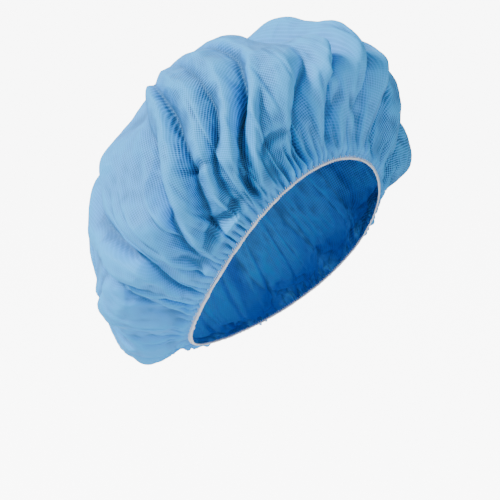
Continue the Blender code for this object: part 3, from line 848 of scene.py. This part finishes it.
# Threads across the elastic, one every spacing along the rim.
def stitchTree():
    tree = bpy.data.node_groups.new("overlockStitches", "GeometryNodeTree")
    tree.interface.new_socket("Geometry", in_out="INPUT", socket_type="NodeSocketGeometry")
    for name in ("spacing", "threadRadius", "reach", "slant", "rise"):
        tree.interface.new_socket(name, in_out="INPUT", socket_type="NodeSocketFloat")
    tree.interface.new_socket("Geometry", in_out="OUTPUT", socket_type="NodeSocketGeometry")
    nodes, links = tree.nodes, tree.links
    given = nodes.new("NodeGroupInput")
    result = nodes.new("NodeGroupOutput")
    path = nodes.new("GeometryNodeMeshToCurve")
    links.new(given.outputs["Geometry"], path.inputs["Mesh"])
    even = nodes.new("GeometryNodeResampleCurve")
    even.mode = "LENGTH"
    links.new(path.outputs["Curve"], even.inputs["Curve"])
    links.new(given.outputs["spacing"], even.inputs["Length"])
    # One thread: a bowed line over the band, with X along the rim and Z outwards.
    half = nodes.new("ShaderNodeMath")
    half.operation = "MULTIPLY"
    half.inputs[1].default_value = 0.5
    links.new(given.outputs["reach"], half.inputs[0])
    minus = nodes.new("ShaderNodeMath")
    minus.operation = "MULTIPLY"
    minus.inputs[1].default_value = -0.5
    links.new(given.outputs["reach"], minus.inputs[0])
    start = nodes.new("ShaderNodeCombineXYZ")
    middle = nodes.new("ShaderNodeCombineXYZ")
    end = nodes.new("ShaderNodeCombineXYZ")
    links.new(minus.outputs["Value"], start.inputs["Y"])
    links.new(given.outputs["slant"], end.inputs["X"])
    links.new(half.outputs["Value"], end.inputs["Y"])
    links.new(given.outputs["rise"], middle.inputs["Z"])
    bow = nodes.new("GeometryNodeCurveQuadraticBezier")
    bow.inputs["Resolution"].default_value = 7
    links.new(start.outputs["Vector"], bow.inputs["Start"])
    links.new(middle.outputs["Vector"], bow.inputs["Middle"])
    links.new(end.outputs["Vector"], bow.inputs["End"])
    threadRound = nodes.new("GeometryNodeCurvePrimitiveCircle")
    threadRound.inputs["Resolution"].default_value = 6
    links.new(given.outputs["threadRadius"], threadRound.inputs["Radius"])
    thread = nodes.new("GeometryNodeCurveToMesh")
    thread.inputs["Fill Caps"].default_value = True
    links.new(bow.outputs["Curve"], thread.inputs["Curve"])
    links.new(threadRound.outputs["Curve"], thread.inputs["Profile Curve"])
    along = nodes.new("GeometryNodeInputTangent")
    outward = nodes.new("GeometryNodeInputNamedAttribute")
    outward.data_type = "FLOAT_VECTOR"
    outward.inputs["Name"].default_value = "outward"
    turn = nodes.new("FunctionNodeAxesToRotation")
    turn.primary_axis = "X"
    turn.secondary_axis = "Z"
    links.new(along.outputs["Tangent"], turn.inputs["Primary Axis"])
    links.new(outward.outputs["Attribute"], turn.inputs["Secondary Axis"])
    placed = nodes.new("GeometryNodeInstanceOnPoints")
    links.new(even.outputs["Curve"], placed.inputs["Points"])
    links.new(thread.outputs["Mesh"], placed.inputs["Instance"])
    links.new(turn.outputs["Rotation"], placed.inputs["Rotation"])
    real = nodes.new("GeometryNodeRealizeInstances")
    links.new(placed.outputs["Instances"], real.inputs["Geometry"])
    painted = nodes.new("GeometryNodeSetMaterial")
    painted.inputs["Material"].default_value = elasticMaterial
    links.new(real.outputs["Geometry"], painted.inputs["Geometry"])
    links.new(painted.outputs["Geometry"], result.inputs["Geometry"])
    return tree


def makeStitches():
    _, edge, normal, away = rimLine(elastic["columns"])
    middle = edge + stitches["edgeGap"] * away - stitches["sunk"] * normal
    count = len(middle)
    guide = bpy.data.meshes.new("stitchGuide")
    guide.from_pydata(middle.tolist(), [(i, (i + 1) % count) for i in range(count)], [])
    outward = guide.attributes.new("outward", "FLOAT_VECTOR", "POINT")
    outward.data.foreach_set("vector", normal.ravel())
    carrier = bpy.data.objects.new("stitchGuide", guide)
    scene.collection.objects.link(carrier)
    tree = stitchTree()
    modifier = carrier.modifiers.new("stitches", "NODES")
    modifier.node_group = tree
    for item in tree.interface.items_tree:
        if item.in_out == "INPUT" and item.name in stitches:
            modifier[item.identifier] = stitches[item.name]
    evaluated = carrier.evaluated_get(bpy.context.evaluated_depsgraph_get())
    mesh = bpy.data.meshes.new_from_object(evaluated)
    mesh.name = "stitches"
    mesh.shade_smooth()
    carrier.modifiers.remove(modifier)
    bpy.data.objects.remove(carrier)
    piece = bpy.data.objects.new("overlockThread", mesh)
    scene.collection.objects.link(piece)
    return piece


print("laying the elastic and its stitches")
elasticCord = makeElastic()
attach(elasticCord, "root")
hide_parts("elastic_band")
overlockThread = makeStitches()
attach(overlockThread, "root")
print("stitch faces", len(overlockThread.data.polygons))


# Camera, floor and lights.
view = {
    "azimuth": math.radians(-50),
    "elevation": math.radians(8),
    "distance": 1.4,
    "lens": 136.2,
    "shift": (-0.0466, 0.0077),
    "floorBelow": 0.30,
    "floorGlow": 8.0,
    # name, place, watts, size in metres
    "lights": (
        ("keyLight", (-1.33, 0.60, 1.35), 58, 0.35),
        ("fillLight", (-0.5, -1.7, 0.5), 12, 1.4),
        ("backLight", (0.9, 1.3, 1.5), 8, 1.6),
    ),
    "skyColour": (0.95, 0.97, 1.0, 1),
    "skyStrength": 0.42,
}


def makeCamera():
    data = bpy.data.cameras.new("camera")
    data.lens = view["lens"]
    data.sensor_width = 36
    data.shift_x, data.shift_y = view["shift"]
    camera = bpy.data.objects.new("camera", data)
    back = Vector((math.sin(view["azimuth"]) * math.cos(view["elevation"]),
                   -math.cos(view["azimuth"]) * math.cos(view["elevation"]), math.sin(view["elevation"])))
    camera.location = back * view["distance"]
    camera.rotation_euler = back.to_track_quat("Z", "Y").to_euler()
    scene.collection.objects.link(camera)
    scene.camera = camera


def makeLight(name, place, power, size):
    data = bpy.data.lights.new(name, "AREA")
    data.energy = power
    data.size = size
    lamp = bpy.data.objects.new(name, data)
    lamp.location = place
    lamp.rotation_euler = Vector(place).to_track_quat("Z", "Y").to_euler()
    scene.collection.objects.link(lamp)


def makeFloor():
    mesh = bpy.data.meshes.new("floor")
    z = -view["floorBelow"]
    mesh.from_pydata([(-80, -80, z), (80, -80, z), (80, 80, z), (-80, 80, z)], [], [(0, 1, 2, 3)])
    floor = bpy.data.objects.new("floor", mesh)
    material = bpy.data.materials.new("paleFloor")
    material.use_nodes = True
    shader = material.node_tree.nodes["Principled BSDF"]
    shader.inputs["Base Color"].default_value = (0.85, 0.86, 0.87, 1)
    shader.inputs["Roughness"].default_value = 0.7
    shader.inputs["Emission Color"].default_value = (1, 1, 1, 1)
    seen = material.node_tree.nodes.new("ShaderNodeLightPath")
    glow = material.node_tree.nodes.new("ShaderNodeMath")
    glow.operation = "MULTIPLY"
    glow.inputs[1].default_value = view["floorGlow"]
    material.node_tree.links.new(seen.outputs["Is Camera Ray"], glow.inputs[0])
    material.node_tree.links.new(glow.outputs["Value"], shader.inputs["Emission Strength"])
    mesh.materials.append(material)
    scene.collection.objects.link(floor)


print("placing camera, floor and lights")
makeCamera()
makeFloor()
for name, place, power, size in view["lights"]:
    makeLight(name, place, power, size)
world = bpy.data.worlds.new("studio")
world.use_nodes = True
world.node_tree.nodes["Background"].inputs["Color"].default_value = view["skyColour"]
world.node_tree.nodes["Background"].inputs["Strength"].default_value = view["skyStrength"]
scene.world = world
